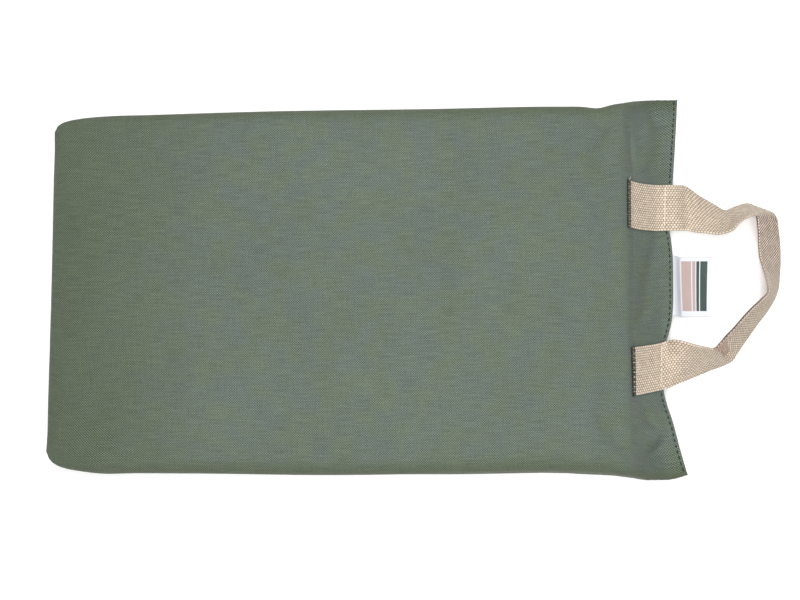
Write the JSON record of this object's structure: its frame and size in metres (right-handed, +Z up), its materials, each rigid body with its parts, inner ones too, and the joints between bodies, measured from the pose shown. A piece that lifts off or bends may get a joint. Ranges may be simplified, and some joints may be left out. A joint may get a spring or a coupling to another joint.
{
  "type": "garden kneeling pad",
  "caption": "Flat foam kneeling pad in a sewn woven cover, with a flared mouth edge, a webbing carry handle that swings over it and a folded label.",
  "frame": {"origin": "centre of the pad's flat underside, midway along its foam-filled length", "axes": "+X along the pad towards the mouth end and its handle, +Y across the pad, +Z up through its thickness"},
  "size_m": [0.5026, 0.2605, 0.04],
  "materials": {
    "cover_cloth": "matte",
    "foam": "matte",
    "webbing": "matte",
    "seam_thread": "matte",
    "dark_thread": "matte",
    "light_thread": "satin",
    "label_satin": "satin"
  },
  "bodies": {
    "pad": {"foam_core": "foam", "cover_top_panel": "cover_cloth", "cover_base_panel": "cover_cloth", "side_seam_thread_front": "seam_thread", "side_seam_thread_rear": "seam_thread", "corner_seam_thread_front": "seam_thread", "corner_seam_thread_rear": "seam_thread", "closed_end_seam_thread": "seam_thread", "mouth_stitching": "dark_thread", "handle_tail_front": "webbing", "handle_tail_rear": "webbing", "handle_stitching_front": "light_thread", "handle_stitching_rear": "light_thread", "handle_end_binding_front": "dark_thread", "handle_end_binding_rear": "dark_thread"},
    "handle": {"handle_loop": "webbing"},
    "label": {"label": "label_satin"}
  },
  "joints": [
    {"name": "handle_swing", "type": "hinge", "parent": "pad", "child": "handle", "pos_m": [0.2198, 0, 0.01495], "axis": [-0.0538, -0.9986, 0], "range_deg": [0, 100]},
    {"name": "label_flip", "type": "hinge", "parent": "pad", "child": "label", "pos_m": [0.2256, 0.0015, 0.0126], "axis": [0, -1, 0], "range_deg": [0, 130]}
  ]
}
